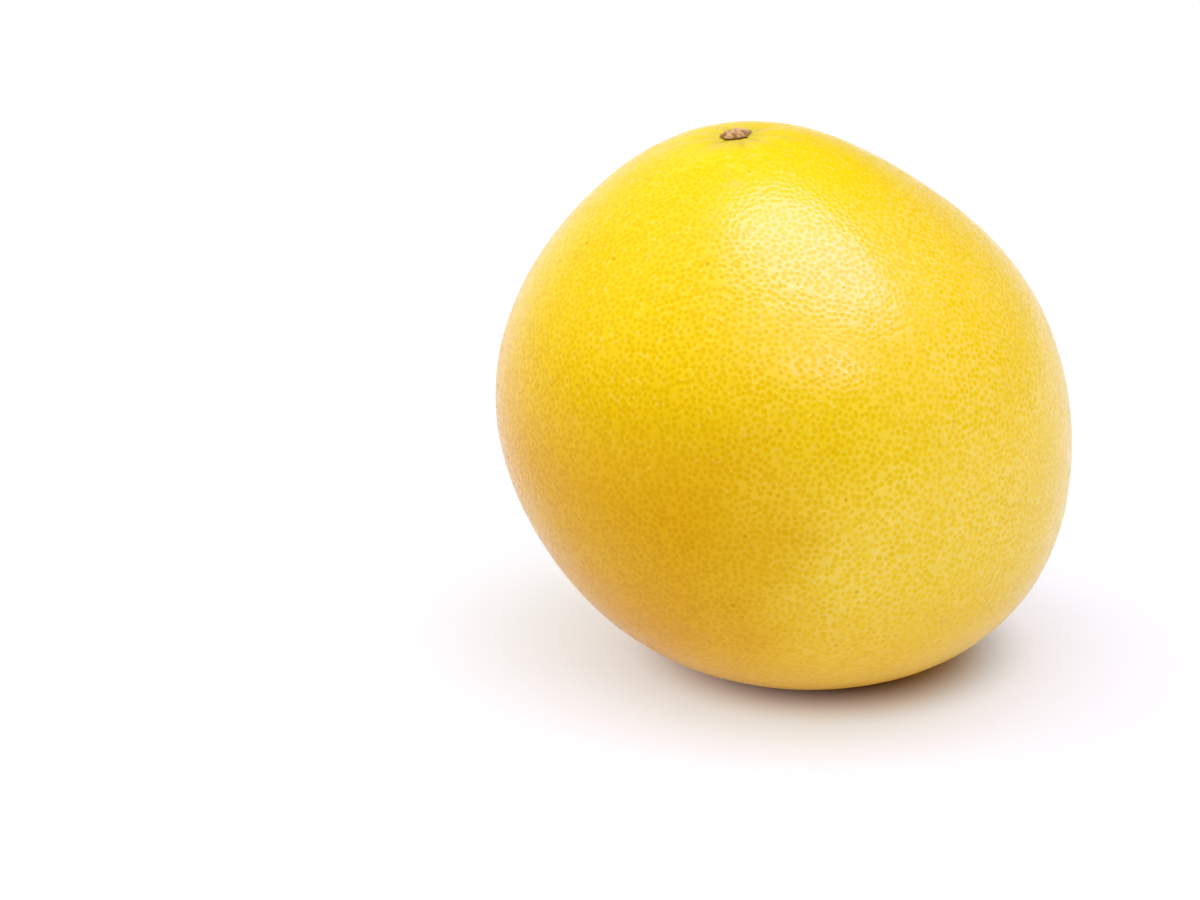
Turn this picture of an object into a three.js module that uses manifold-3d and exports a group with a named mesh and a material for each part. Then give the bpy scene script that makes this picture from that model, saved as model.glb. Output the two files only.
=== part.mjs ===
// A whole pomelo that stands on a small flat spot, with the dry button of its stem on top.
// Millimetres, +Z up. The origin is on the surface that the fruit stands on, under the middle of its box.

import * as THREE from 'three';
import { mergeVertices } from 'three/addons/utils/BufferGeometryUtils.js';
import Module from 'manifold-3d';

// ---- Driving dimensions ----

// The skin is a sphere whose radius has a few smooth terms added. They are counted along the fruit's own axis,
// from the middle of the fruit to its stem end.
const MEAN_RADIUS = 74.5;
const PEAR = 2.3; // narrow at the stem end, full at the blossom end
const WAIST = -0.4;
const NECK = 2.3; // the stem end is drawn out a little
const SKEW = -8.0; // the stem end bulges to -X and the blossom end to +X
const SKEW_IN_BELT = 0.9; // the widest belt is pushed to -X
const SKEW_AT_ENDS = -0.4;

// How the fruit's axis lies at rest, in degrees.
const LEAN_LEFT = 10.4;
const LEAN_FRONT = 2.8;

// The flat spot is where the skin is pressed flat, this far up from its lowest point.
const REST_DEPTH = 1.0;

// Round the stem the skin sinks and is drawn into shallow folds.
const STEM_HOLLOW = { depth: 1.6, radius: 9 };
const STEM_FOLDS = { count: 8, depth: 0.32, strongest: 7, uneven: 0.22 };

// The scar of the flower, in the middle of the blossom end.
const FLOWER_SCAR = { depth: 1.5, radius: 3.2 };

// The button is what is left of the stem and its calyx: a corky oval with five worn lobes and a broken middle.
const BUTTON = { halfLength: 4.0, halfWidth: 3.0, turn: 26, lobes: 5, lobeDepth: 0.09, thickness: 1.3, rim: 0.35 };
const BUTTON_CORE = { height: 0.45, radius: 0.42, groove: 0.5 };
const GAP = 0.3; // between the skin and the button

// How fine the meshes are.
const SKIN_STEPS = { around: 96, along: 48, crowding: 0.45 };
const BUTTON_STEPS = { around: 48, along: 20 };

const SKIN_FINISH = { color: '#f2cf35', roughness: 0.42, metalness: 0 };
const BUTTON_FINISH = { color: '#b0875c', roughness: 0.85, metalness: 0 };

// ---- The form of the skin ----

// The Legendre polynomials of order 3 to 5, which are 1 at the stem end.
function legendre(c) {
  const c2 = c * c;
  return [
    (5 * c2 * c - 3 * c) / 2,
    (35 * c2 * c2 - 30 * c2 + 3) / 8,
    (63 * c2 * c2 * c - 70 * c2 * c + 15 * c) / 8,
  ];
}

// The radius of the plain body, without its folds and scars, in a unit direction from the fruit's middle.
function bodyRadius(direction) {
  const c = direction.z;
  const [p3, p4, p5] = legendre(c);
  const round = PEAR * p3 + WAIST * p4 + NECK * p5;
  const belt = SKEW_IN_BELT * (5 * c * c - 1) / 2;
  const ends = SKEW_AT_ENDS * c * (7 * c * c - 3) / 2;
  return MEAN_RADIUS + round + direction.x * (SKEW * c + belt + ends);
}

// How far a direction is from the stem end, or from the blossom end, measured over the skin.
function fromStem(direction) {
  return MEAN_RADIUS * Math.acos(THREE.MathUtils.clamp(direction.z, -1, 1));
}

function fromBlossom(direction) {
  return MEAN_RADIUS * Math.acos(THREE.MathUtils.clamp(-direction.z, -1, 1));
}

function hollow(distance, { depth, radius }) {
  return -depth * Math.exp(-((distance / radius) ** 2));
}

// The folds run out from the stem. They are deepest a little way out and fade from there.
function stemFolds(direction) {
  const { count, depth, strongest, uneven } = STEM_FOLDS;
  const around = Math.atan2(direction.y, direction.x);
  const swayed = around + uneven * Math.sin(2 * around + 1);
  const across = ((1 + Math.cos(count * swayed)) / 2) ** 2;
  const out = fromStem(direction) / strongest;
  return -depth * across * (out * Math.exp(1 - out)) ** 2;
}

function skinRadius(direction) {
  const stem = hollow(fromStem(direction), STEM_HOLLOW) + stemFolds(direction);
  const blossom = hollow(fromBlossom(direction), FLOWER_SCAR);
  return bodyRadius(direction) + stem + blossom;
}

// ---- Meshes ----

// A unit sphere with its poles on Z, its seam closed and nothing but positions.
function closedSphere(around, along) {
  const sphere = new THREE.SphereGeometry(1, around, along);
  sphere.rotateX(Math.PI / 2);
  sphere.deleteAttribute('normal');
  sphere.deleteAttribute('uv');
  return mergeVertices(sphere);
}

// Moves every vertex of a unit sphere to where the function puts its direction.
function reshape(sphere, place) {
  const position = sphere.getAttribute('position');
  const direction = new THREE.Vector3();
  for (let i = 0; i < position.count; i += 1) {
    direction.fromBufferAttribute(position, i).normalize();
    const point = place(direction);
    position.setXYZ(i, point.x, point.y, point.z);
  }
  return sphere;
}

// A unit direction at an angle from the stem end, and at an angle round it.
function directionAt(fromPole, around) {
  const out = Math.sin(fromPole);
  return new THREE.Vector3(out * Math.cos(around), out * Math.sin(around), Math.cos(fromPole));
}

// Crowds the rings of vertices towards both ends, where the small forms are.
function crowded(direction) {
  const fromPole = Math.acos(THREE.MathUtils.clamp(direction.z, -1, 1));
  const moved = fromPole - SKIN_STEPS.crowding * Math.sin(2 * fromPole) / 2;
  return directionAt(moved, Math.atan2(direction.y, direction.x));
}

function skinGeometry() {
  const sphere = closedSphere(SKIN_STEPS.around, SKIN_STEPS.along);
  return reshape(sphere, (direction) => {
    const spaced = crowded(direction);
    return spaced.multiplyScalar(skinRadius(spaced));
  });
}

// How far the button reaches from its middle, for an angle round the stem.
function buttonReach(around) {
  const { halfLength, halfWidth, turn, lobes, lobeDepth } = BUTTON;
  const turned = around - THREE.MathUtils.degToRad(turn);
  const oval = 1 / Math.hypot(Math.cos(turned) / halfLength, Math.sin(turned) / halfWidth);
  return oval * (1 + lobeDepth * Math.cos(lobes * turned) + 0.5 * lobeDepth * Math.sin(3 * turned));
}

// How high the button's top is, for a share of its reach: a low dome with a rough core and a groove round it.
function buttonTop(share, around) {
  const dome = BUTTON.thickness * (1 - share ** 4);
  const core = BUTTON_CORE.height * Math.exp(-((share / BUTTON_CORE.radius) ** 2));
  const furrows = 1 - BUTTON_CORE.groove * share * (1 + Math.cos(BUTTON.lobes * around + 2)) / 2;
  return dome * furrows + core;
}

// The upper half of the sphere becomes the button's top, and the lower half its underside, which follows the skin.
function buttonGeometry() {
  const sphere = closedSphere(BUTTON_STEPS.around, BUTTON_STEPS.along);
  return reshape(sphere, (direction) => {
    const around = Math.atan2(direction.y, direction.x);
    const share = Math.sqrt(Math.max(0, 1 - direction.z ** 2));
    const onSkin = directionAt(buttonReach(around) * share / MEAN_RADIUS, around);
    const rise = direction.z > 0 ? buttonTop(share, around) : BUTTON.rim * direction.z;
    return onSkin.multiplyScalar(skinRadius(onSkin) + GAP + BUTTON.rim + rise);
  });
}

// Turns a geometry from the fruit's own axis to the way the fruit rests.
function atRest(geometry) {
  const lean = new THREE.Euler(
    THREE.MathUtils.degToRad(LEAN_FRONT),
    -THREE.MathUtils.degToRad(LEAN_LEFT),
    0,
    'YXZ',
  );
  return geometry.applyQuaternion(new THREE.Quaternion().setFromEuler(lean));
}

// ---- Solids ----

const wasm = await Module();
wasm.setup();

function toSolid(geometry) {
  const vertProperties = Float32Array.from(geometry.getAttribute('position').array);
  const triVerts = Uint32Array.from(geometry.getIndex().array);
  return new wasm.Manifold(new wasm.Mesh({ numProp: 3, vertProperties, triVerts }));
}

function toGeometry(solid) {
  const { vertProperties, triVerts } = solid.getMesh();
  const geometry = new THREE.BufferGeometry();
  geometry.setAttribute('position', new THREE.BufferAttribute(vertProperties, 3));
  geometry.setIndex(new THREE.BufferAttribute(triVerts, 1));
  return geometry;
}

// A block that fills everything under a height.
function blockBelow(height) {
  const side = 4 * MEAN_RADIUS;
  const block = new THREE.BoxGeometry(side, side, side);
  block.deleteAttribute('normal');
  block.deleteAttribute('uv');
  block.translate(0, 0, height - side / 2);
  return mergeVertices(block);
}

// The fruit, with its lowest part pressed flat.
function fruitGeometry() {
  const skin = atRest(skinGeometry());
  skin.computeBoundingBox();
  const floor = blockBelow(skin.boundingBox.min.z + REST_DEPTH);
  return toGeometry(toSolid(skin).subtract(toSolid(floor)));
}

// ---- The part ----

function piece(name, geometry, finish) {
  geometry.computeVertexNormals();
  const mesh = new THREE.Mesh(geometry, new THREE.MeshStandardMaterial(finish));
  mesh.name = name;
  return mesh;
}

// Puts the middle of the group's box over the origin and its lowest point on the ground.
function setDown(group) {
  const box = new THREE.Box3().setFromObject(group, true);
  const middle = box.getCenter(new THREE.Vector3());
  group.position.set(-middle.x, -middle.y, -box.min.z);
  return group;
}

const pomelo = new THREE.Group();
pomelo.name = 'pomelo';
pomelo.add(piece('fruit', fruitGeometry(), SKIN_FINISH));
pomelo.add(piece('stem_button', atRest(buttonGeometry()), BUTTON_FINISH));

export default setDown(pomelo);
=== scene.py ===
# The looks of a whole pomelo: its peel with every oil gland, and the dry button of its stem.
# Lengths are in millimetres until a mesh is made. Directions are in the fruit's own axes, with +Z at the
# stem, unless they are said to be on the resting fruit.

import math

import bpy
import numpy as np
from mathutils import Matrix, Vector, noise
from mathutils.geometry import delaunay_2d_cdt


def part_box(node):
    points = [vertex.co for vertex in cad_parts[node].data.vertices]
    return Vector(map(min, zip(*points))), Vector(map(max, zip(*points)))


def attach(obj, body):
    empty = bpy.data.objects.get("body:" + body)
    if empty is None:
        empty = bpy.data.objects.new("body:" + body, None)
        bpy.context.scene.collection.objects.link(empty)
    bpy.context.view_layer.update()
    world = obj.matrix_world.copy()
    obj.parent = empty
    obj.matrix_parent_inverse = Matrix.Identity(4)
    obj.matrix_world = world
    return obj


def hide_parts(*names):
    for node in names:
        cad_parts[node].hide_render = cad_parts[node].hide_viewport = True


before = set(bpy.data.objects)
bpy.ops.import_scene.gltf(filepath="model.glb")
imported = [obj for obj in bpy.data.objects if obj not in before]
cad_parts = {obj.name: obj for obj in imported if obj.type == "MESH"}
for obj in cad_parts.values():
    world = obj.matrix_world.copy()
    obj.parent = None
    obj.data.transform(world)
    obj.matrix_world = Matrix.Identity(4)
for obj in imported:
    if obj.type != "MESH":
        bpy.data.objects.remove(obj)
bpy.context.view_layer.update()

MM = 0.001

# ---- The form of the fruit, as in the solids ----

MEAN_RADIUS = 74.5
PEAR = 2.3
WAIST = -0.4
NECK = 2.3
SKEW = -8.0
SKEW_IN_BELT = 0.9
SKEW_AT_ENDS = -0.4
LEAN_LEFT = 10.4
LEAN_FRONT = 2.8
STEM_HOLLOW_DEPTH, STEM_HOLLOW_RADIUS = 1.6, 9.0
FOLD_COUNT, FOLD_DEPTH, FOLD_STRONGEST, FOLD_UNEVEN = 8, 0.32, 7.0, 0.22
SCAR_DEPTH, SCAR_RADIUS = 1.5, 3.2

# ---- What the peel adds ----

INSET = 0.14  # the skin lies this far inside the solid's, so that no bump stands proud of it
REST_HEIGHT = 0.05  # of the peel's flat spot over the floor

# How the peel's points are spread. Each is the middle of a gland or of a bit of plain skin.
GLAND_GAPS = (1.74, 2.10)  # between the middles of neighbouring oil glands, at the stem end and at the scar
FINE_GAP = 0.6  # between the points round the stem and the flower scar
FINE_REACH, COARSE_REACH = 8.0, 22.0  # where the fine points end and the full gap begins
GLAND_JITTER = 0.3  # of the gap
EVENING_ROUNDS = 1
ANGLE_STEPS = 20000  # from the stem end to the scar, for counting the points
MERGE_DISTANCE = 1e-9  # points this near count as one
OUTLINE_POINTS = 200000  # for finding the solid's middle

# The glands.
GLAND_SHARE = 0.97  # of the points that are a full gap apart
GLAND_RADIUS = (0.53, 0.84)
PIT_DEPTH = (0.07, 0.17)
SMALL_BIAS = 1.3  # over 1, more of the glands are small than large
STEM_PLAIN_REACH = (6.0, 18.0)  # from the stem end, where the pits begin and are as deep as elsewhere
STEM_GLAND_SIZE = 0.6  # of the size elsewhere
ROUND_REACH = 0.02  # from a round gland's middle to each end of the line inside it
OVAL_SHARE, OVAL_REACH = 0.25, (0.05, 0.2)  # of the lone glands are oval, with this reach
PAIRED_SHARE = 0.05  # of the glands have run together in pairs
PAIRED_WIDTH = 0.85  # of the smaller one's
PAIR_CHANCE = 1.2  # how much farther apart than the nearest ones a pair may be

# The skin's swells, each with its wavelength and height, and the fine wrinkles round the stem.
SWELLS = ((24.0, 0.10), (9.0, 0.045), (4.5, 0.022))
WRINKLE_COUNT, WRINKLE_DEPTH, WRINKLE_STRONGEST = 31, 0.07, 6.5
WRINKLE_SWAY, WRINKLE_SWAYS = 0.1, 5
WRINKLE_STRAY, WRINKLE_STRAY_LENGTH = 0.12, 7.0
SHADE_BY_FOLDS, SHADE_BY_WRINKLES = 0.6, 0.4  # how much painted shade each of them puts in the skin

# Where the skin is deepest yellow: a way on the resting fruit, the cosines from faint to full, and a share.
# The patch on the left front is painted shade and a painted reflection of a neighbour beside the fruit.
LEFT_SHADE_PATCH = ((-0.90, -0.42, 0.05), (0.15, 0.75), 1.0)
# The patch in front is deeper yellow skin.
FRONT_PATCH = ((0.02, -0.96, 0.29), (0.86, 1.0), 0.8)
PATCH_RAGGED = 0.15  # how unevenly it fades out
PATCH_RAGGED_LENGTH, PATCH_SHIFT = 26.0, 50  # the wavelength of that, and how far its noise is moved

# The brown specks: the ways, on the resting fruit, to the ones that show in front, and the rest.
SPECK_WAYS = (
    (-0.67, -0.28, 0.68),
    (-0.59, -0.44, 0.68),
    (-0.21, -0.90, -0.37),
    (0.14, -0.71, 0.69),
    (0.14, -0.99, 0.04),
    (0.13, -0.84, -0.53),
    (0.87, -0.40, 0.29),
    (-0.30, -0.61, 0.73),
)
SPECKS_BY_CHANCE = 14
SPECK_TONE = 2.0  # other glands have a tone from 0 to 1

SEED = 21
rng = np.random.default_rng(SEED)


def unit(vectors):
    """Vectors scaled to a length of 1."""
    return vectors / np.linalg.norm(vectors, axis=-1, keepdims=True)


def share_between(values, low, high):
    """How far values are on the way from low to high, from 0 to 1."""
    return np.clip((values - low) / (high - low), 0, 1)


def direction(down, around):
    """Unit directions at angles down from the stem end, and at angles round it."""
    return np.stack([np.sin(down) * np.cos(around), np.sin(down) * np.sin(around), np.cos(down)], -1)


def body_radius(d):
    """The radius of the plain body in each of an array of unit directions."""
    c = d[:, 2]
    p3 = (5 * c**3 - 3 * c) / 2
    p4 = (35 * c**4 - 30 * c**2 + 3) / 8
    p5 = (63 * c**5 - 70 * c**3 + 15 * c) / 8
    belt = SKEW_IN_BELT * (5 * c**2 - 1) / 2
    ends = SKEW_AT_ENDS * c * (7 * c**2 - 3) / 2
    return MEAN_RADIUS + PEAR * p3 + WAIST * p4 + NECK * p5 + d[:, 0] * (SKEW * c + belt + ends)


def from_stem(d):
    """How far unit directions are from the stem end, over the skin."""
    return MEAN_RADIUS * np.arccos(np.clip(d[:, 2], -1, 1))


def from_scar(d):
    """How far unit directions are from the flower scar, over the skin."""
    return MEAN_RADIUS * np.arccos(np.clip(-d[:, 2], -1, 1))


def folds(d):
    """How deep the skin is drawn in by the folds round the stem, as a share of their depth."""
    around = np.arctan2(d[:, 1], d[:, 0])
    swayed = around + FOLD_UNEVEN * np.sin(2 * around + 1)
    across = ((1 + np.cos(FOLD_COUNT * swayed)) / 2) ** 2
    out = from_stem(d) / FOLD_STRONGEST
    return across * (out * np.exp(1 - out)) ** 2


def skin_radius(d):
    """The radius of the skin as the solid has it."""
    stem = STEM_HOLLOW_DEPTH * np.exp(-((from_stem(d) / STEM_HOLLOW_RADIUS) ** 2))
    scar = SCAR_DEPTH * np.exp(-((from_scar(d) / SCAR_RADIUS) ** 2))
    return body_radius(d) - stem - scar - FOLD_DEPTH * folds(d)


# ---- How the fruit rests ----


def resting_turn():
    """The rotation from the fruit's own axes to the resting fruit."""
    lean = Matrix.Rotation(-math.radians(LEAN_LEFT), 3, "Y")
    nod = Matrix.Rotation(math.radians(LEAN_FRONT), 3, "X")
    return np.array(lean @ nod)


TURN = resting_turn()


def golden_turns(k):
    """The angles of a sunflower's spiral, for whole numbers."""
    return k * math.pi * (3 - math.sqrt(5))


def spiral(count):
    """Unit directions spread evenly over a sphere."""
    k = np.arange(count)
    height = 1 - 2 * (k + 0.5) / count
    around = golden_turns(k)
    out = np.sqrt(1 - height**2)
    return np.stack([out * np.cos(around), out * np.sin(around), height], 1)


def find_middle():
    """Where the solid's own middle is, in mm, from the sides and the top of its box."""
    low, high = (np.array(corner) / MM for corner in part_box("fruit"))
    d = spiral(OUTLINE_POINTS)
    points = (d * skin_radius(d)[:, None]) @ TURN.T
    middle = (low + high - points.min(0) - points.max(0)) / 2
    middle[2] = high[2] - points[:, 2].max()
    return middle


MIDDLE = find_middle()


def at_rest(points):
    """Points in the fruit's own axes, in mm, where they are on the resting fruit, in metres."""
    placed = points @ TURN.T + MIDDLE
    return placed * MM


# ---- Where the points and triangles of the peel are ----


def gland_gap_at(angle):
    """How far apart the oil glands are, for an angle from the stem end."""
    return np.interp(angle, (0, math.pi), GLAND_GAPS)


def gap_at(angle):
    """How far apart the skin's points are, for an angle from the stem end."""
    reach = MEAN_RADIUS * np.minimum(angle, math.pi - angle)
    share = share_between(reach, FINE_REACH, COARSE_REACH)
    return FINE_GAP + (gland_gap_at(angle) - FINE_GAP) * share


def scatter():
    """Unit directions for the skin's points, on a spiral that is denser at both ends, then shaken."""
    angle = np.linspace(0, math.pi, ANGLE_STEPS + 1)
    crowd = 2 * math.pi * MEAN_RADIUS**2 * np.sin(angle) / (math.sqrt(3) / 2 * gap_at(angle) ** 2)
    total = np.concatenate([[0], np.cumsum((crowd[1:] + crowd[:-1]) / 2 * np.diff(angle))])
    count = int(total[-1])
    k = np.arange(count)
    down = np.interp((k + 0.5) / count * total[-1], total, angle)
    d = direction(down, golden_turns(k))
    shake = rng.normal(size=d.shape) * (gap_at(down) * GLAND_JITTER / MEAN_RADIUS)[:, None]
    return np.concatenate([unit(d + shake), [[0, 0, -1]]])


def edges_of(faces):
    """The edges of triangles, each from one corner to the next."""
    return np.concatenate([faces[:, [0, 1]], faces[:, [1, 2]], faces[:, [2, 0]]])


def net_of(d):
    """The Delaunay triangles of unit directions, the last of which is straight down."""
    flat = d[:-1, :2] / (1 + d[:-1, 2:])
    found = delaunay_2d_cdt([Vector(p) for p in flat.tolist()], [], [], 0, MERGE_DISTANCE)
    faces = np.array(found[2])
    edges = edges_of(faces)
    there, back = edges[:, 0] * len(d) + edges[:, 1], edges[:, 1] * len(d) + edges[:, 0]
    rim = edges[~np.isin(back, there)]
    last = np.full(len(rim), len(d) - 1)
    return np.concatenate([faces, np.stack([rim[:, 1], rim[:, 0], last], 1)])


def evened(d):
    """Moves every direction but the last towards the middle of the ground round it."""
    for _ in range(EVENING_ROUNDS):
        faces = net_of(d)
        a, b, c = (d[faces[:, k]] for k in range(3))
        area = np.linalg.norm(np.cross(b - a, c - a), axis=1)[:, None]
        middle = (a + b + c) / 3 * area
        moved = np.zeros_like(d)
        for k in range(3):
            np.add.at(moved, faces[:, k], middle)
        moved[-1] = d[-1]
        d = unit(moved)
    return d


def cells_of(d):
    """A fan of triangles round every direction.

    Returns the directions of all the mesh's points, the given ones first, then the triangles, and then
    whose fan each triangle is in.
    """
    faces = net_of(d)
    corners = unit(d[faces].mean(1))
    start = faces.ravel()
    end = faces[:, [1, 2, 0]].ravel()
    own = np.repeat(np.arange(len(faces)), 3)
    there, back = start * len(d) + end, end * len(d) + start
    order = np.argsort(there)
    beyond = own[order[np.searchsorted(there[order], back)]]
    fans = np.stack([start, len(d) + beyond, len(d) + own], 1)
    return np.concatenate([d, corners]), fans, start


# ---- Meshes ----


def uneven(points, wavelength):
    """Smooth noise from -1 to 1 with about this wavelength, for points in mm."""
    scaled = (points / wavelength * 2).tolist()
    return np.array([noise.noise(Vector(p)) for p in scaled])


def make_mesh(name, points, faces):
    """A smooth object from points in metres and faces that all have as many corners."""
    mesh = bpy.data.meshes.new(name)
    mesh.vertices.add(len(points))
    mesh.vertices.foreach_set("co", np.asarray(points, np.float32).ravel())
    mesh.loops.add(faces.size)
    mesh.loops.foreach_set("vertex_index", faces.astype(np.int32).ravel())
    mesh.polygons.add(len(faces))
    mesh.polygons.foreach_set("loop_start", np.arange(0, faces.size, faces.shape[1], dtype=np.int32))
    mesh.update(calc_edges=True)
    mesh.validate()
    mesh.shade_smooth()
    obj = bpy.data.objects.new(name, mesh)
    bpy.context.scene.collection.objects.link(obj)
    return obj


def give(mesh, name, values, domain):
    """Writes one number or vector for each point or face of a mesh, for its material to read."""
    values = np.asarray(values, np.float32)
    kind = "FLOAT_VECTOR" if values.ndim == 2 else "FLOAT"
    layer = mesh.attributes.new(name, kind, domain)
    layer.data.foreach_set("vector" if values.ndim == 2 else "value", values.ravel())


# ---- The peel ----


def pairs_of(d, is_gland):
    """Picks neighbouring glands that have run together, the closest first, each with one other at most."""
    edges = edges_of(net_of(d))
    edges = edges[(edges[:, 0] < edges[:, 1]) & is_gland[edges].all(1)]
    length = np.linalg.norm(d[edges[:, 0]] - d[edges[:, 1]], axis=1) * MEAN_RADIUS
    order = np.argsort(length + rng.uniform(0, PAIR_CHANCE, len(edges)))
    other = np.full(len(d), -1)
    left = int(is_gland.sum() * PAIRED_SHARE / 2)
    for a, b in edges[order].tolist():
        if left and other[a] < 0 and other[b] < 0:
            other[a], other[b] = b, a
            left -= 1
    return other


def choose_glands(d):
    """Which points are glands, how wide and deep each one is, and which other it has run together with."""
    angle = np.arccos(np.clip(d[:, 2], -1, 1))
    gland_gap = gland_gap_at(angle)
    is_gland = rng.random(len(d)) < (gap_at(angle) / gland_gap) ** 2 * GLAND_SHARE
    size = rng.random(len(d)) ** SMALL_BIAS
    radius = np.where(is_gland, np.interp(size, (0, 1), GLAND_RADIUS), 0)
    radius *= gland_gap / np.mean(GLAND_GAPS)
    pit = np.where(is_gland, np.interp(size, (0, 1), PIT_DEPTH), 0)
    off_stem = share_between(from_stem(d), *STEM_PLAIN_REACH)
    radius *= STEM_GLAND_SIZE + (1 - STEM_GLAND_SIZE) * off_stem
    pit *= off_stem
    other = pairs_of(d, is_gland)
    paired = other >= 0
    radius[paired] = PAIRED_WIDTH * np.minimum(radius, radius[other])[paired]
    return is_gland, radius, pit, other


def wrinkles(d):
    """How deep the skin is drawn in by the fine wrinkles round the stem, as a share of their depth."""
    around = np.arctan2(d[:, 1], d[:, 0])
    out = from_stem(d) / WRINKLE_STRONGEST
    stray = WRINKLE_STRAY * uneven(d * MEAN_RADIUS, WRINKLE_STRAY_LENGTH)
    swayed = around + WRINKLE_SWAY * np.sin(WRINKLE_SWAYS * around) + stray
    return (1 + np.cos(WRINKLE_COUNT * swayed)) / 2 * (out * np.exp(1 - out)) ** 3


def relief(every, pit):
    """How far the skin stands out from the solid's. The fans' middles come first, and have the pits."""
    rough = every * MEAN_RADIUS
    height = np.full(len(every), -INSET)
    for wavelength, swell in SWELLS:
        height += swell * uneven(rough + wavelength, wavelength)
    height -= WRINKLE_DEPTH * wrinkles(every)
    height[:len(pit)] -= pit
    return height


def gland_lines(middle, d, other):
    """Where the line inside every gland starts and how far it goes, in metres, on the resting fruit.

    It is short, longer in an oval, and in a pair it goes from one middle to the other.
    """
    along = unit(np.cross(d, unit(rng.normal(size=d.shape)))) @ TURN.T * MM
    is_oval = rng.random(len(d)) < OVAL_SHARE
    reach = np.where(is_oval, rng.uniform(*OVAL_REACH, len(d)), ROUND_REACH)
    start = middle - along * reach[:, None]
    span = 2 * along * reach[:, None]
    paired = other >= 0
    start[paired] = middle[paired]
    span[paired] = (middle[other] - middle)[paired]
    return start, span


def speck_glands(d, is_gland):
    """Picks the glands that have turned brown: the ones at SPECK_WAYS, and a few by chance."""
    turned = d @ TURN.T
    seen = [int(np.argmax(turned @ np.array(Vector(way).normalized()) + is_gland)) for way in SPECK_WAYS]
    return np.concatenate([seen, rng.choice(np.flatnonzero(is_gland), SPECKS_BY_CHANCE, replace=False)])


def gland_tones(d, is_gland):
    """A chance number for each gland, from 0 to 1, or SPECK_TONE where it has turned brown."""
    tone = rng.random(len(d))
    tone[speck_glands(d, is_gland)] = SPECK_TONE
    return tone


def patch_share(d, patches):
    """How deep a yellow these patches make the skin, from 0 to 1, in unit directions."""
    turned = d @ TURN.T
    stray = PATCH_RAGGED * uneven(d * MEAN_RADIUS + PATCH_SHIFT, PATCH_RAGGED_LENGTH)
    deepest = np.zeros(len(d))
    for way, (faint, full), share in patches:
        toward = turned @ np.array(Vector(way).normalized())
        deepest = np.maximum(deepest, share * np.clip((toward - faint) / (full - faint) + stray, 0, 1))
    return deepest


def make_peel():
    """The peel as one mesh, with a fan of triangles for every gland, and what its material reads."""
    d = evened(scatter())
    is_gland, radius, pit, other = choose_glands(d)
    every, fans, owner = cells_of(d)
    points = at_rest(every * (skin_radius(every) + relief(every, pit))[:, None])
    points[:, 2] = np.maximum(points[:, 2], REST_HEIGHT * MM)
    peel = make_mesh("peel", points, fans)
    start, span = gland_lines(points[:len(d)], d, other)
    on_faces = {
        "gland_start": start,
        "gland_span": span,
        "gland_radius": radius * MM,
        "gland_tone": gland_tones(d, is_gland),
    }
    fold_shade = SHADE_BY_FOLDS * folds(every) + SHADE_BY_WRINKLES * wrinkles(every)
    on_points = {
        "from_stem": from_stem(every),
        "from_scar": from_scar(every),
        # Deeper yellow skin in front, and painted shade and reflection on the left front.
        "deep_skin_and_shade": patch_share(every, [LEFT_SHADE_PATCH, FRONT_PATCH]),
        "left_shade": patch_share(every, [LEFT_SHADE_PATCH]),
        "height": (every @ TURN.T)[:, 2],
        "crease_shade": np.clip(fold_shade, 0, 1),
    }
    for name, values in on_faces.items():
        give(peel.data, name, values[owner], "FACE")
    for name, values in on_points.items():
        give(peel.data, name, values, "POINT")
    return peel


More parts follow.
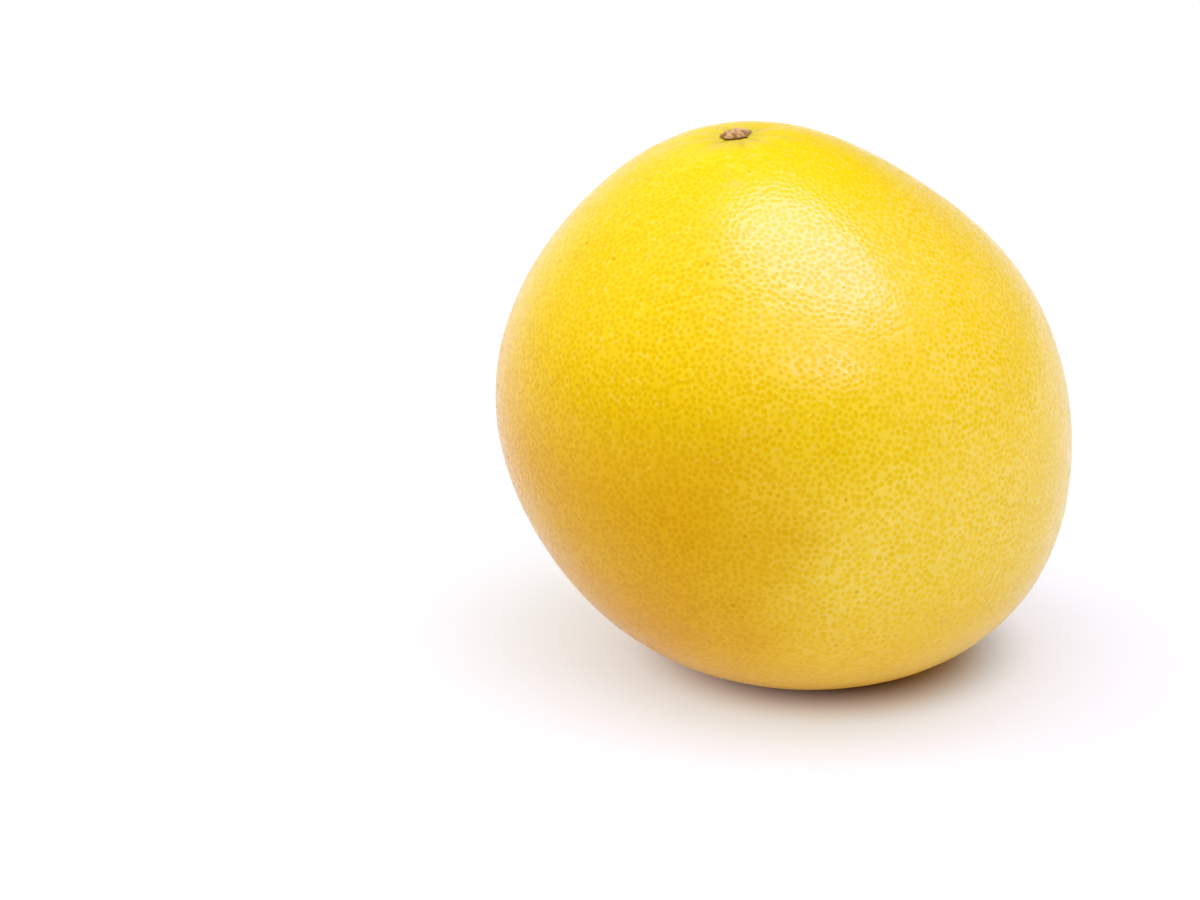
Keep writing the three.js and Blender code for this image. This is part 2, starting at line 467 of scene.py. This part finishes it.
class Nodes:
    """The node tree of a material or a world, with short ways to add to it."""

    def __init__(self, owner):
        owner.use_nodes = True
        self.owner = owner
        self.tree = owner.node_tree
        self.tree.nodes.clear()

    def add(self, kind, inputs=None, **settings):
        """A new node, its inputs linked to sockets or set to values."""
        node = self.tree.nodes.new(kind)
        for key, value in settings.items():
            setattr(node, key, value)
        for key, value in (inputs or {}).items():
            self.put(node.inputs[key], value)
        return node

    def put(self, socket, value):
        """Links an input to a socket, or sets it to a value."""
        if isinstance(value, bpy.types.NodeSocket):
            self.tree.links.new(value, socket)
        else:
            socket.default_value = value

    def read(self, name, vector=False):
        """What the mesh gives under this name."""
        node = self.add("ShaderNodeAttribute", attribute_name=name, attribute_type="GEOMETRY")
        return node.outputs["Vector" if vector else "Fac"]

    def math(self, operation, a, b=0.0, c=0.0, clamp=False):
        """A number worked out from others."""
        node = self.add("ShaderNodeMath", {0: a, 1: b, 2: c}, operation=operation, use_clamp=clamp)
        return node.outputs[0]

    def vector(self, operation, a, b=(0, 0, 0), scale=None):
        """A vector or a number worked out from vectors."""
        inputs = {0: a, 1: b}
        if scale is not None:
            inputs["Scale"] = scale
        node = self.add("ShaderNodeVectorMath", inputs, operation=operation)
        return node.outputs["Value" if operation in ("LENGTH", "DOT_PRODUCT", "DISTANCE") else 0]

    def remap(self, value, low, high, to_low=0.0, to_high=1.0, smooth=True):
        """A value that goes from to_low to to_high while another goes from low to high."""
        kind = "SMOOTHSTEP" if smooth else "LINEAR"
        inputs = {0: value, 1: low, 2: high, 3: to_low, 4: to_high}
        return self.add("ShaderNodeMapRange", inputs, interpolation_type=kind, clamp=True).outputs[0]

    def noise(self, where, size, detail=2.0, roughness=0.5):
        """Noise from 0 to 1 whose features are about this many mm across."""
        inputs = {"Vector": where, "Scale": 1 / (size * MM), "Detail": detail, "Roughness": roughness}
        return self.add("ShaderNodeTexNoise", inputs).outputs["Fac"]

    def spots(self, where, kind):
        """Spots of noise. Their kind is the noise's size, detail and roughness, and how it is remapped."""
        texture, reach = kind
        return self.remap(self.noise(where, *texture), *reach)

    def mix(self, share, a, b, blend="MIX"):
        """The colour a, with this share of the colour b mixed in."""
        node = self.add("ShaderNodeMix", data_type="RGBA", blend_type=blend, clamp_factor=True)
        for identifier, value in (("Factor_Float", share), ("A_Color", a), ("B_Color", b)):
            self.put(next(s for s in node.inputs if s.identifier == identifier), value)
        return next(s for s in node.outputs if s.identifier == "Result_Color")

    def finish(self, **inputs):
        """Ends a material with a shader that has these inputs."""
        named = {key.replace("_", " "): value for key, value in inputs.items()}
        shader = self.add("ShaderNodeBsdfPrincipled", named)
        self.add("ShaderNodeOutputMaterial", {"Surface": shader.outputs[0]})
        return self.owner


def new_material(name):
    """An empty material to add nodes to."""
    return Nodes(bpy.data.materials.new(name))


# The skin between the glands, which is called the net here, and the glands.
NET_COLOUR = (0.878, 0.616, 0.062, 1)
NET_PALE = (0.898, 0.643, 0.096, 1)
NET_DEEP = (0.88, 0.585, 0.025, 1)
# For the deeper skin in front, and the painted shade and reflection on the left front.
NET_DEEP_SKIN_AND_SHADE = (0.875, 0.610, 0.008, 1)
NET_CROWN = (0.870, 0.620, 0.005, 1)
NET_FLECK = (0.91, 0.70, 0.16, 1)
GLAND_COLOUR = (0.855, 0.570, 0.0, 1)
GLAND_DEEP = (0.82, 0.530, 0.0, 1)
# For the deeper skin in front, and the painted shade and reflection on the left front.
GLAND_DEEP_SKIN_AND_SHADE = (0.80, 0.510, 0.0, 1)
GLAND_CROWN = (0.84, 0.590, 0.0, 1)
CROWN_REACH = (56.0, 30.0)  # from the stem end, where the skin begins to deepen and is deepest
CROWN_ON_NET = 0.9

# Painted shade, darker and warmer, low down: on the underside, and low on the patch on the left front.
LOW_SHADE_TINT = (0.97, 0.81, 0.16, 1)
LOW_HEIGHTS = (-0.30, -0.80)  # of a unit direction on the resting fruit, where it begins and is full
LEFT_SHADE_TINT = (0.86, 0.65, 0.10, 1)
LEFT_SHADE_HEIGHTS = (0.60, -0.10)

# The marks, and the painted shade in the creases round the stem.
SPECK_BROWN = (0.60, 0.31, 0.0, 1)
SCUFF_TAN = (0.78, 0.52, 0.16, 1)
STEM_GREEN = (0.52, 0.50, 0.10, 1)
# Painted shade in the folds and wrinkles round the stem.
CREASE_SHADE = (0.42, 0.33, 0.04, 1)
SCAR_BROWN = (0.24, 0.14, 0.06, 1)
STEM_REACH = (12.0, 3.0)  # from the stem end, where its marks begin and are strongest
STEM_GREENED, STEM_SHADED = (0.0, 0.4), (0.03, 0.45)  # how much of each there is at both
SCAR_EDGE = (4.2, 2.6)  # from the scar's middle, once noise has been added
SCAR_RAGGED, SCAR_RAGGED_SIZE = 2.0, 1.2

# The spots of noise: the size in mm, the detail and the roughness, and then how the noise is remapped.
PALE_PATCHES = ((22.0, 3.0, 0.55), (0.35, 0.65))
DEEP_FLECKS = ((3.0, 2.0, 0.6), (0.35, 0.75, 0.0, 0.55))
PALE_FLECKS = ((1.7, 3.0, 0.7), (0.52, 0.72, 0.0, 0.5))
FAINT_PATCHES = ((14.0, 2.0, 0.5), (0.3, 0.7, 0.8, 1.0))
SCUFFS = ((13.0, 4.0, 0.7), (0.60, 0.72))
SCUFF_FLECKS = ((3.0, 2.0, 0.6), (0.4, 0.6, 0.1, 0.4))
WAXY_PATCHES = ((6.0, 3.0, 0.6), (0.3, 0.7, 0.17, 0.24))

# How the glands show, by the distance from a gland's line as a share of its radius, and by its tone.
DOT_EDGE = (1.5, 0.5)
DOT_WOBBLE, DOT_WOBBLE_SIZE = 1.0, 0.8
PIT_EDGE = (1.5, 0.2)
SPECK_EDGE = (0.9, 0.3)
SPECK_TONES = (1.2, 1.8, 0.0, 0.65)
FAINT_TONES = (0.0, 0.6, 0.8, 1.0)
LOW_DOTS = 0.65  # of the glands' colour shows on the underside
TINY = 1e-6  # metres, so that nothing is divided by 0

# The gloss.
SKIN_IOR = 1.45
SHEEN_ON_NET = (1.0, 0.90, 0.45, 1)
SHEEN_ON_GLANDS = (1.0, 0.94, 0.28, 1)
# Painted shade in the reflection, low down and on the left front.
SHEEN_SHADE_TINT = (1.0, 0.85, 0.20, 1)
GLOSS_ON_NET, GLOSS_ON_GLANDS = 0.55, 0.43
LOW_GLOSS = 0.4  # of it is left on the underside

# The relief that is finer than the mesh: heights in mm, and the noises' size, detail and roughness.
PIT_RELIEF = -0.05
PEBBLE_RELIEF, PEBBLE = 0.030, (1.3, 2.0, 0.5)
GRAIN_RELIEF, GRAIN = 0.005, (0.35, 3.0, 0.6)


def gland_edge(n, here):
    """How far the skin is from the line of its gland, as a share of the gland's radius."""
    away = n.vector("SUBTRACT", here, n.read("gland_start", vector=True))
    span = n.read("gland_span", vector=True)
    squared = n.math("MAXIMUM", n.vector("DOT_PRODUCT", span, span), TINY**2)
    share = n.math("DIVIDE", n.vector("DOT_PRODUCT", away, span), squared, clamp=True)
    distance = n.vector("LENGTH", n.vector("SUBTRACT", away, n.vector("SCALE", span, scale=share)))
    return n.math("DIVIDE", distance, n.math("MAXIMUM", n.read("gland_radius"), TINY))


def gland_dot(n, here, edge):
    """How much the skin is part of a gland, from 0 to 1, with an edge that isn't quite round."""
    wobble = n.math("MULTIPLY_ADD", n.noise(here, DOT_WOBBLE_SIZE), DOT_WOBBLE, -DOT_WOBBLE / 2)
    return n.remap(n.math("ADD", edge, wobble), *DOT_EDGE)


def net_colour(n, here, crown, deep_skin_and_shade):
    """The colour of the skin between the glands."""
    net = n.mix(n.spots(here, PALE_PATCHES), NET_COLOUR, NET_PALE)
    net = n.mix(n.spots(here, DEEP_FLECKS), net, NET_DEEP)
    net = n.mix(n.math("MULTIPLY", crown, CROWN_ON_NET), net, NET_CROWN)
    # Deeper skin in front, and painted shade and reflection on the left front.
    net = n.mix(deep_skin_and_shade, net, NET_DEEP_SKIN_AND_SHADE)
    return n.mix(n.spots(here, PALE_FLECKS), net, NET_FLECK)


def gland_colour(n, crown, deep_skin_and_shade):
    """The colour of the glands."""
    gland = n.mix(n.read("gland_tone"), GLAND_COLOUR, GLAND_DEEP)
    gland = n.mix(crown, gland, GLAND_CROWN)
    # Deeper skin in front, and painted shade and reflection on the left front.
    return n.mix(deep_skin_and_shade, gland, GLAND_DEEP_SKIN_AND_SHADE)


def gland_strength(n, here, dot):
    """How much of the glands' colour shows: less in patches, in the faint ones and on the underside."""
    strength = n.math("MULTIPLY", dot, n.spots(here, FAINT_PATCHES))
    strength = n.math("MULTIPLY", strength, n.remap(n.read("gland_tone"), *FAINT_TONES, smooth=False))
    return n.math("MULTIPLY", strength, n.remap(n.read("height"), *LOW_HEIGHTS, 1.0, LOW_DOTS))


def with_marks(n, here, edge, skin):
    """Adds the brown specks and the tan scuffs."""
    speck = n.math("MULTIPLY", n.remap(edge, *SPECK_EDGE), n.remap(n.read("gland_tone"), *SPECK_TONES))
    skin = n.mix(speck, skin, SPECK_BROWN)
    scuffed = n.math("MULTIPLY", n.spots(here, SCUFFS), n.spots(here, SCUFF_FLECKS))
    return n.mix(scuffed, skin, SCUFF_TAN)


def with_ends(n, here, skin):
    """Adds the green skin and painted shade in the creases round the stem, and the flower's brown scar."""
    stem = n.read("from_stem")
    skin = n.mix(n.remap(stem, *STEM_REACH, *STEM_GREENED), skin, STEM_GREEN)
    crease_shade = n.math("MULTIPLY", n.read("crease_shade"), n.remap(stem, *STEM_REACH, *STEM_SHADED))
    skin = n.mix(crease_shade, skin, CREASE_SHADE)
    ragged = n.math("MULTIPLY_ADD", n.noise(here, SCAR_RAGGED_SIZE), SCAR_RAGGED, n.read("from_scar"))
    return n.mix(n.remap(ragged, *SCAR_EDGE), skin, SCAR_BROWN)


def fine_relief(n, here, edge):
    """The pits' soft edges, low pebbles and a fine grain, as a normal."""
    grain = n.math("MULTIPLY", n.noise(here, *GRAIN), GRAIN_RELIEF)
    pebbles = n.math("MULTIPLY_ADD", n.noise(here, *PEBBLE), PEBBLE_RELIEF, grain)
    height = n.math("MULTIPLY_ADD", n.remap(edge, *PIT_EDGE), PIT_RELIEF, pebbles)
    return n.add("ShaderNodeBump", {"Height": height, "Strength": 1.0, "Distance": MM}).outputs[0]


def peel_material():
    """Yellow glands in paler skin, with its marks, its painted shade, its gloss and its fine relief."""
    n = new_material("pomelo_peel")
    here = n.add("ShaderNodeTexCoord").outputs["Object"]
    edge = gland_edge(n, here)
    dot = gland_dot(n, here, edge)
    crown = n.remap(n.read("from_stem"), *CROWN_REACH)
    deep_skin_and_shade = n.remap(n.read("deep_skin_and_shade"), 0.0, 1.0)
    height = n.read("height")
    low = n.remap(height, *LOW_HEIGHTS, smooth=False)
    left_shade = n.math("MULTIPLY", n.remap(n.read("left_shade"), 0.0, 1.0), n.remap(height, *LEFT_SHADE_HEIGHTS))

    net = net_colour(n, here, crown, deep_skin_and_shade)
    skin = n.mix(gland_strength(n, here, dot), net, gland_colour(n, crown, deep_skin_and_shade))
    skin = with_marks(n, here, edge, skin)
    # Painted shade: darker and warmer low down, and low on the left front.
    skin = n.mix(low, skin, LOW_SHADE_TINT, blend="MULTIPLY")
    skin = n.mix(left_shade, skin, LEFT_SHADE_TINT, blend="MULTIPLY")
    skin = with_ends(n, here, skin)

    gloss = n.remap(dot, 0.0, 1.0, GLOSS_ON_NET, GLOSS_ON_GLANDS, smooth=False)
    dulled = n.remap(low, 0.0, 1.0, 1.0, LOW_GLOSS, smooth=False)
    sheen = n.mix(dot, SHEEN_ON_NET, SHEEN_ON_GLANDS)
    # The reflection gets painted shade low down and on the left front.
    reflection_shade = n.math("MAXIMUM", low, left_shade)
    return n.finish(
        Base_Color=skin,
        Roughness=n.spots(here, WAXY_PATCHES),
        IOR=SKIN_IOR,
        Specular_IOR_Level=n.math("MULTIPLY", gloss, dulled),
        Specular_Tint=n.mix(reflection_shade, sheen, SHEEN_SHADE_TINT, blend="MULTIPLY"),
        Normal=fine_relief(n, here, edge),
    )


peel = make_peel()
peel.data.materials.append(peel_material())
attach(peel, "root")
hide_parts("fruit")


# ---- The stem button ----

# As in the solids.
BUTTON_LENGTH, BUTTON_WIDTH, BUTTON_TURN = 4.0, 3.0, 26.0
BUTTON_LOBES, LOBE_DEPTH, BUTTON_THICKNESS, BUTTON_RIM = 5, 0.09, 1.3, 0.35
CORE_HEIGHT, CORE_RADIUS, CORE_GROOVE = 0.45, 0.42, 0.5
BUTTON_GAP = 0.3

# What the cork adds.
BUTTON_AROUND, BUTTON_ALONG = 160, 70
BUTTON_LIFT = 0.4  # of the solids' gap is left between the peel and the button
CRUMBS = ((0.16, 1.6, 0), (0.1, 0.7, 9), (0.05, 0.35, 5))  # the height, wavelength and shift of each noise
CRUMB_SINK = 0.12  # how far the top is lowered, to stay inside the solid's
CRUMB_EDGE = 4  # how quickly they begin over the rim
HOLLOW_MEAN, HOLLOW_BY_CRUMB = 0.5, 2.5  # how hollow level cork is, and how much less per mm of crumb

CORK_LIGHT = (0.68, 0.42, 0.22, 1)
CORK_TAN = (0.53, 0.30, 0.13, 1)
CORK_DARK_AND_SHADE = (0.27, 0.13, 0.04, 1)
CORK_PATCHES = ((1.4, 4.0, 0.65), (0.3, 0.7))
CORK_ROUGHNESS = ((0.8, 2.0, 0.5), (0.3, 0.7, 0.7, 0.9))
CORK_GLOSS = 0.1
# Painted shade in the cork's hollows, and darker cork with painted shade at its rim.
SHADED_HOLLOWS = (0.45, 0.95)
DARK_AND_SHADED_RIM = (0.86, 1.0, 0.0, 0.7)
CORK_GRAIN, CORK_GRAIN_DEPTH, CORK_GRAIN_STRENGTH = (0.22, 5.0, 0.7), 0.12, 0.8


def ring_grid(around, along):
    """A unit sphere's directions in rings from pole to pole, and its faces as triangles."""
    down = np.linspace(0, math.pi, along + 1)[1:-1]
    turn = np.arange(around) / around * 2 * math.pi
    down, turn = np.meshgrid(down, turn, indexing="ij")
    rings = direction(down, turn)
    d = np.concatenate([[[0, 0, 1]], rings.reshape(-1, 3), [[0, 0, -1]]])
    k = np.arange(around)
    after = (k + 1) % around
    faces = [np.stack([np.zeros_like(k), 1 + k, 1 + after], 1)]
    for ring in range(along - 2):
        here, under = 1 + ring * around, 1 + (ring + 1) * around
        faces.append(np.stack([here + k, under + k, under + after], 1))
        faces.append(np.stack([here + k, under + after, here + after], 1))
    last = 1 + (along - 2) * around
    faces.append(np.stack([last + k, np.full_like(k, len(d) - 1), last + after], 1))
    return d, np.concatenate(faces)


def button_reach(around):
    """How far the button reaches from its middle, for angles round the stem."""
    turned = around - math.radians(BUTTON_TURN)
    oval = 1 / np.hypot(np.cos(turned) / BUTTON_LENGTH, np.sin(turned) / BUTTON_WIDTH)
    return oval * (1 + LOBE_DEPTH * np.cos(BUTTON_LOBES * turned) + 0.5 * LOBE_DEPTH * np.sin(3 * turned))


def make_button():
    """The button as in the solids, with crumbs on its top."""
    d, faces = ring_grid(BUTTON_AROUND, BUTTON_ALONG)
    around = np.arctan2(d[:, 1], d[:, 0])
    share = np.sqrt(np.maximum(0, 1 - d[:, 2] ** 2))
    on_skin = direction(button_reach(around) * share / MEAN_RADIUS, around)
    dome = BUTTON_THICKNESS * (1 - share**4)
    core = CORE_HEIGHT * np.exp(-((share / CORE_RADIUS) ** 2))
    furrow = 1 - CORE_GROOVE * share * (1 + np.cos(BUTTON_LOBES * around + 2)) / 2
    rise = np.where(d[:, 2] > 0, dome * furrow + core, BUTTON_RIM * d[:, 2])
    flat = on_skin * MEAN_RADIUS
    crumbs = sum(height * uneven(flat + shift, wavelength) for height, wavelength, shift in CRUMBS)
    upper = np.clip(d[:, 2] * CRUMB_EDGE, 0, 1)
    rise = rise + (crumbs - CRUMB_SINK) * upper
    height = skin_radius(on_skin) - INSET + BUTTON_GAP * BUTTON_LIFT + BUTTON_RIM + rise
    button = make_mesh("stem_cork", at_rest(on_skin * height[:, None]), faces)
    hollowness = HOLLOW_MEAN - crumbs * HOLLOW_BY_CRUMB + (1 - furrow)
    give(button.data, "hollowness", np.clip(hollowness, 0, 1), "POINT")
    give(button.data, "share", share, "POINT")
    return button


def cork_material():
    """Tan and brown cork, with painted shade in its hollows, and darker cork with painted shade at its rim.
    """
    n = new_material("dry_stem_cork")
    here = n.add("ShaderNodeTexCoord").outputs["Object"]
    cork = n.mix(n.spots(here, CORK_PATCHES), CORK_TAN, CORK_LIGHT)
    cork = n.mix(n.remap(n.read("hollowness"), *SHADED_HOLLOWS), cork, CORK_DARK_AND_SHADE)
    cork = n.mix(n.remap(n.read("share"), *DARK_AND_SHADED_RIM), cork, CORK_DARK_AND_SHADE)
    grain = n.noise(here, *CORK_GRAIN)
    relief = {"Height": grain, "Strength": CORK_GRAIN_STRENGTH, "Distance": CORK_GRAIN_DEPTH * MM}
    return n.finish(
        Base_Color=cork,
        Roughness=n.spots(here, CORK_ROUGHNESS),
        Specular_IOR_Level=CORK_GLOSS,
        Normal=n.add("ShaderNodeBump", relief).outputs[0],
    )


button = make_button()
button.data.materials.append(cork_material())
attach(button, "root")
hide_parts("stem_button")


# ---- The studio ----

# The camera, in degrees and millimetres.
VIEW_DROP = 20.0  # how far it looks down
VIEW_DISTANCE = 880.0  # from it to the middle of the fruit, along the line of sight
FRUIT_RIGHT, FRUIT_UP = 48.7, 10.3  # where the fruit's middle is, from the middle of the picture
LENS, SENSOR = 100.0, 36.0
CLIP_END = 20.0  # metres

# The floor, in metres.
FLOOR_REACH, FLOOR_STEPS = 6.0, 24  # from its middle to each side, and the squares across it
FLOOR_ROUGHNESS = 0.8
FLOOR_COLOUR = (0.48, 0.49, 0.52, 1)
# Painted shadow, brown with the fruit's warm bounce, on the floor under the fruit.
FLOOR_PAINTED_SHADOW = (0.55, 0.37, 0.13, 1)
FLOOR_FAR = (0, 0, 0, 1)
REST_CENTRE = (0.010, -0.002, 0.0)
PAINTED_SHADOW_REACH = (0.030, 0.050)  # from REST_CENTRE, where FLOOR_PAINTED_SHADOW ends and FLOOR_COLOUR begins
# The glow near the fruit is painted light: it lightens the floor round it and so draws its shadow's edge.
GLOW_CENTRE = (0.014, 0.0045, 0.0)
GLOW_REACH, FLOOR_GLOW = (0.030, 0.057), 0.42  # from GLOW_CENTRE, where the glow begins and is this strong
FAR_REACH, WHITE = (0.5, 1.6), 1.05  # from there, where it begins to grow on, and is this strong

# The room: a low white backdrop behind the fruit that fades out to both sides and upwards, and a glow up on
# its left. A spread is the cosines from a way where its light begins and is full.
BACKDROP_WAY = (-0.1, 0.99, 0.0)
BACKDROP_SPREAD = (-0.1, 0.7)
BACKDROP_HEIGHT = (0.0, 0.45)  # of a unit direction, where it begins to fade and is gone
BACKDROP_LIGHT, ROOM_LIGHT = 0.75, 0.025
LEFT_GLOW_WAY = (-0.45, 0.81, 0.37)
LEFT_GLOW_SPREAD = (0.84, 0.98)
LEFT_GLOW = 0.5

# The lamps: a name, the way to each, its width and depth as shares of its distance, and its radiance. The
# fills only light things, and the sheens are only mirrored.
LAMP_DISTANCE = 3.0  # metres
SHEEN_COLOUR = (0.5, 0.18, 1.0)
FILLS = (
    ("overhead", (0.12, -0.18, 0.97), (1.8, 1.8), 2.22),
    ("front_fill", (0.25, -0.93, 0.25), (0.8, 0.8), 0.45),
    ("left_fill", (-0.75, 0.15, 0.6), (0.8, 0.8), 2.40),
    ("right_fill", (0.85, -0.35, 0.3), (0.8, 0.8), 0.31),
)
SHEENS = (
    ("overhead_sheen", (0.215, -0.13, 0.965), (0.98, 0.68), 16.0),
    ("low_sheen", (0.30, -0.655, 0.675), (0.50, 0.12), 21.0),
)


def add_camera():
    """The camera, where the photo was taken from."""
    drop = math.radians(VIEW_DROP)
    forward = np.array([0, math.cos(drop), -math.sin(drop)])
    up = np.array([0, math.sin(drop), math.cos(drop)])
    place = MIDDLE - forward * VIEW_DISTANCE - up * FRUIT_UP
    place[0] -= FRUIT_RIGHT
    data = bpy.data.cameras.new("camera")
    data.lens, data.sensor_width, data.clip_end = LENS, SENSOR, CLIP_END
    camera = bpy.data.objects.new("camera", data)
    camera.location = place * MM
    camera.rotation_euler = (math.radians(90 - VIEW_DROP), 0, 0)
    bpy.context.scene.collection.objects.link(camera)
    bpy.context.scene.camera = camera


def add_softbox(name, way, size, radiance, colour=(1, 1, 1), mirrored=False):
    """A far lamp that isn't seen itself: a rectangle that only lights, or an ellipse that is mirrored."""
    away = Vector(way).normalized()
    across = (Vector((1, 0, 0)) - away * away.x).normalized()
    data = bpy.data.lights.new(name, "AREA")
    data.shape = "ELLIPSE" if mirrored else "RECTANGLE"
    data.size, data.size_y = (share * LAMP_DISTANCE for share in size)
    area = data.size * data.size_y * (math.pi / 4 if mirrored else 1)
    data.energy = radiance * math.pi * area
    data.color = colour
    lamp = bpy.data.objects.new(name, data)
    lamp.location = Vector(MIDDLE * MM) + away * LAMP_DISTANCE
    lamp.rotation_euler = Matrix((across, away.cross(across), away)).transposed().to_euler()
    lamp.visible_camera = False
    lamp.visible_diffuse = not mirrored
    lamp.visible_glossy = mirrored
    bpy.context.scene.collection.objects.link(lamp)


def floor_material():
    """Pale, with a painted shadow under the fruit, and a glow round it that ends in plain white far off."""
    n = new_material("pale_floor")
    here = n.add("ShaderNodeTexCoord").outputs["Object"]
    from_rest = n.vector("DISTANCE", here, REST_CENTRE)
    out = n.vector("DISTANCE", here, GLOW_CENTRE)
    pale = n.mix(n.remap(from_rest, *PAINTED_SHADOW_REACH), FLOOR_PAINTED_SHADOW, FLOOR_COLOUR)
    near_glow = n.remap(out, *GLOW_REACH, 0.0, FLOOR_GLOW)
    far_glow = n.remap(out, *FAR_REACH, 0.0, WHITE - FLOOR_GLOW)
    return n.finish(
        Base_Color=n.mix(n.remap(out, *FAR_REACH), pale, FLOOR_FAR),
        Roughness=FLOOR_ROUGHNESS,
        Emission_Color=(1, 1, 1, 1),
        Emission_Strength=n.math("ADD", near_glow, far_glow),
    )


def add_floor():
    """A plain floor in squares, far larger than the picture."""
    line = np.linspace(-FLOOR_REACH, FLOOR_REACH, FLOOR_STEPS + 1)
    x, y = np.meshgrid(line, line, indexing="ij")
    points = np.stack([x.ravel(), y.ravel(), np.zeros(x.size)], 1)
    k = np.arange(FLOOR_STEPS)
    i, j = (a.ravel() for a in np.meshgrid(k, k, indexing="ij"))
    first = i * (FLOOR_STEPS + 1) + j
    after = first + FLOOR_STEPS + 1
    floor = make_mesh("floor", points, np.stack([first, after, after + 1, first + 1], 1))
    floor.data.materials.append(floor_material())


def light_the_room():
    """A dim room with its backdrop, glow and lamps. Past the floor, the camera sees it plain white."""
    world = bpy.data.worlds.new("room")
    bpy.context.scene.world = world
    n = Nodes(world)
    way = n.add("ShaderNodeTexCoord").outputs["Generated"]
    low = n.remap(n.vector("DOT_PRODUCT", way, (0, 0, 1)), *BACKDROP_HEIGHT, 1.0, 0.0)
    behind = n.remap(n.vector("DOT_PRODUCT", way, BACKDROP_WAY), *BACKDROP_SPREAD)
    light = n.math("MULTIPLY_ADD", n.math("MULTIPLY", low, behind), BACKDROP_LIGHT, ROOM_LIGHT)
    glow = n.remap(n.vector("DOT_PRODUCT", way, LEFT_GLOW_WAY), *LEFT_GLOW_SPREAD, 0.0, LEFT_GLOW)
    seen = n.add("ShaderNodeLightPath").outputs["Is Camera Ray"]
    strength = n.math("MAXIMUM", n.math("ADD", light, glow), seen)
    surface = n.add("ShaderNodeBackground", {"Strength": strength})
    n.add("ShaderNodeOutputWorld", {"Surface": surface.outputs[0]})
    for name, way, size, radiance in FILLS:
        add_softbox(name, way, size, radiance)
    for name, way, size, radiance in SHEENS:
        add_softbox(name, way, size, radiance, SHEEN_COLOUR, mirrored=True)


add_camera()
add_floor()
light_the_room()
bpy.context.scene.view_settings.view_transform = "Standard"
